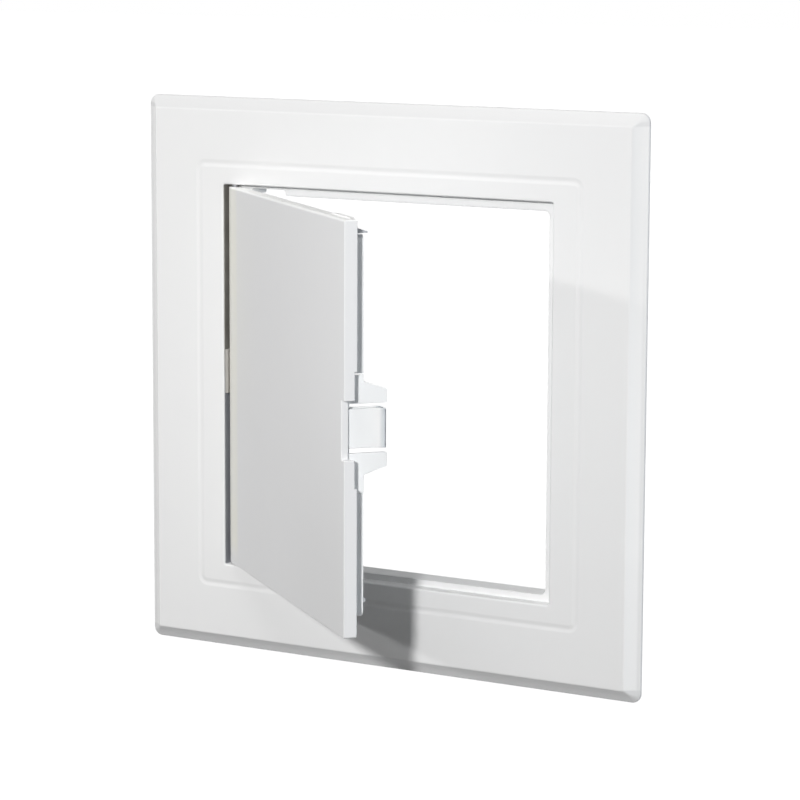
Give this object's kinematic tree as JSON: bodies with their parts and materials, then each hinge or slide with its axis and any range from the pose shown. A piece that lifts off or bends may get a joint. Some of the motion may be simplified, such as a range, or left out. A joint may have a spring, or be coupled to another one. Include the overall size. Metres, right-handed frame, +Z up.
{
  "type": "inspection hatch",
  "caption": "Square flanged inspection hatch in white plastic with a side-hung snap-latch door, shown ajar, and a short sleeve that passes into the wall opening.",
  "frame": {"origin": "middle of the face that lies on the wall, at the back of the flange", "axes": "+Y into the wall, +X to the right and +Z up for someone facing the hatch, with the door hung on the left"},
  "size_m": [0.24, 0.1146, 0.24],
  "materials": {
    "frame_plastic": "satin",
    "door_plastic": "satin",
    "latch_plastic": "satin",
    "steel": "brushed"
  },
  "bodies": {
    "frame": {"flange": "frame_plastic", "sleeve": "frame_plastic", "steady_rib": "frame_plastic"},
    "door": {"door_panel": "door_plastic", "stiffening_frame": "door_plastic", "guide_lugs": "door_plastic", "latch_guide": "latch_plastic", "latch_screws": "steel", "hinge_pins": "steel"},
    "latch": {"latch_tongue": "latch_plastic"}
  },
  "joints": [
    {"name": "door_hinge", "type": "hinge", "parent": "frame", "child": "door", "pos_m": [-0.075, -0.003, 0], "axis": [0, 0, -1], "range_deg": [-40, 55]},
    {"name": "tongue_flex", "type": "hinge", "parent": "door", "child": "latch", "pos_m": [0.03687, -0.0923, 0], "axis": [0, 0, 1], "range_deg": [0, 12], "stiffness_Nm_per_rad": 0.05}
  ]
}
